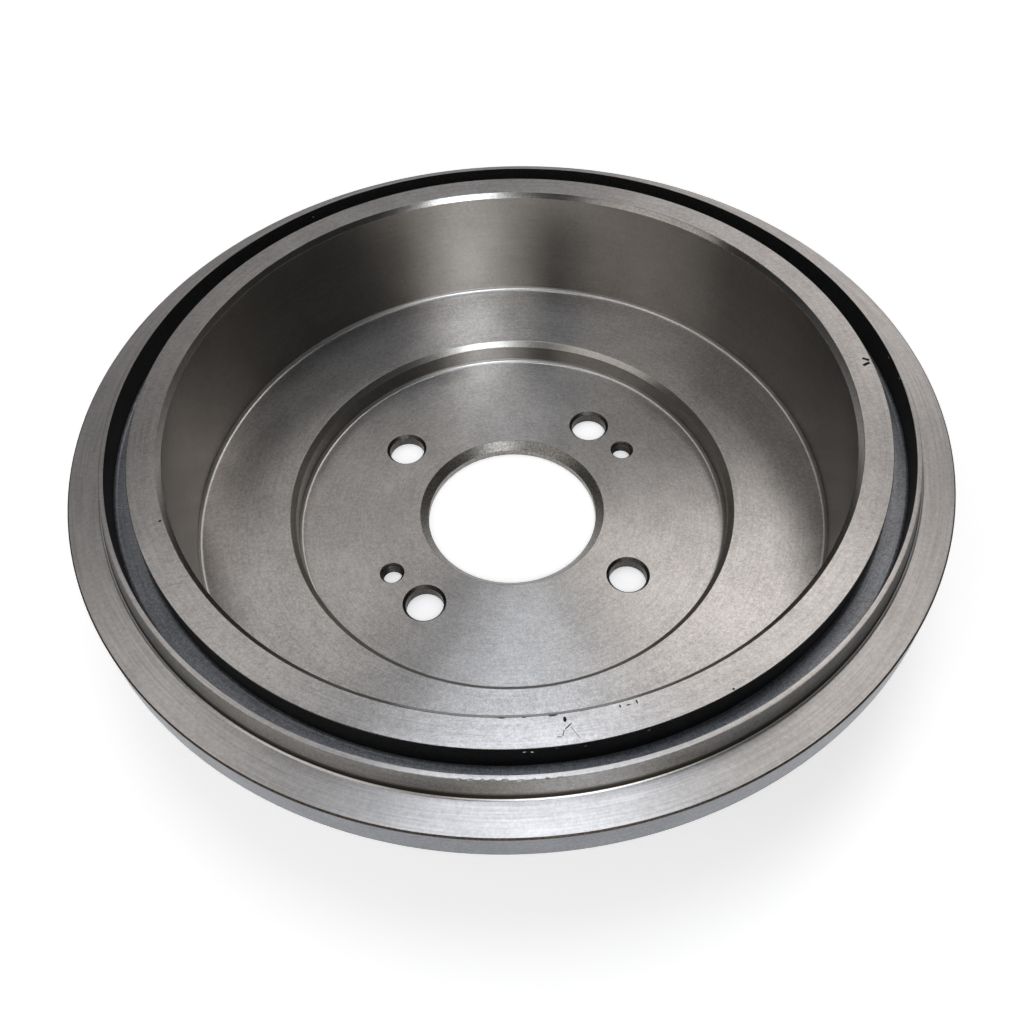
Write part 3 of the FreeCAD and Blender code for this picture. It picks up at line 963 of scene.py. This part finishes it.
# %% [markdown]
# ## Threads
# Two small holes are tapped, so that a bolt can push a stuck drum off its hub. The
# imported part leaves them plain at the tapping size, and the thread is made here. A stack
# of rings would look alike from far off, but a real thread climbs: so one tooth is drawn
# as a closed outline, and the Screw modifier winds it up the hole, one pitch a turn. Its
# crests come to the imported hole, so the two agree.

# %% Thread
THREAD_TURNS = 3
THREAD_STEPS = 48
TOOTH_HEIGHT = 1.0
CREST_FROM, CREST_TO = 0.42, 0.58
SUNK_IN = 0.04


def thread(name, place):
    """The ridge of a tapped hole, wound up from near the wheel face."""
    bottom = (PLATE - THREAD_PITCH * THREAD_TURNS - TOOTH_HEIGHT) / 2
    root, crest = THREAD_DEPTH_RADIUS + SUNK_IN, JACK_HOLE
    tooth = [(root, bottom), (root, bottom + TOOTH_HEIGHT),
             (crest, bottom + CREST_FROM), (crest, bottom + CREST_TO)]
    bpy.ops.object.select_all(action="DESELECT")
    bpy.ops.mesh.primitive_plane_add(size=1 * MM)
    ridge = bpy.context.object
    ridge.name = name
    corners = sorted(ridge.data.vertices, key=lambda vertex: (vertex.co.x, vertex.co.y))
    for vertex, (across, up) in zip(corners, tooth):
        vertex.co = Vector((across, 0, up)) * MM
    bpy.ops.object.mode_set(mode="EDIT")
    bpy.ops.mesh.delete(type="ONLY_FACE")
    bpy.ops.object.mode_set(mode="OBJECT")
    winding = ridge.modifiers.new("winding", "SCREW")
    winding.screw_offset = THREAD_PITCH * MM
    winding.iterations = THREAD_TURNS
    winding.steps = winding.render_steps = THREAD_STEPS
    winding.use_smooth_shade = True
    bpy.ops.object.modifier_apply(modifier=winding.name)
    bpy.ops.object.mode_set(mode="EDIT")
    bpy.ops.mesh.select_mode(type="EDGE")
    bpy.ops.mesh.select_all(action="DESELECT")
    bpy.ops.mesh.select_non_manifold()
    bpy.ops.mesh.edge_face_add()
    bpy.ops.mesh.select_all(action="SELECT")
    bpy.ops.mesh.normals_make_consistent(inside=False)
    bpy.ops.object.mode_set(mode="OBJECT")
    ridge.location = Vector((*place, 0)) * MM
    bpy.ops.object.transform_apply(location=True, rotation=False, scale=False)
    bpy.ops.object.shade_smooth_by_angle(angle=SMOOTH_UNDER)
    ridge.data.materials.append(drilling)
    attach(ridge, "root")
    return ridge


for name, angle in zip(("jack_thread_front", "jack_thread_back"), JACK_ANGLES):
    ridge = thread(name, on_stud_circle(angle))
    mesh = bmesh.new()
    mesh.from_mesh(ridge.data)
    open_edges = sum(not edge.is_manifold for edge in mesh.edges)
    print(name, len(mesh.faces), "faces, open edges:", open_edges)
    mesh.free()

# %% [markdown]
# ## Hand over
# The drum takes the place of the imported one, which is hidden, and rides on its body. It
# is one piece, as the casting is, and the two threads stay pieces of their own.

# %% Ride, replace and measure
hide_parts("brake_drum")
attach(drum, "root")
triangles = sum(len(face.vertices) - 2 for face in drum.data.polygons)
print("triangles:", triangles)
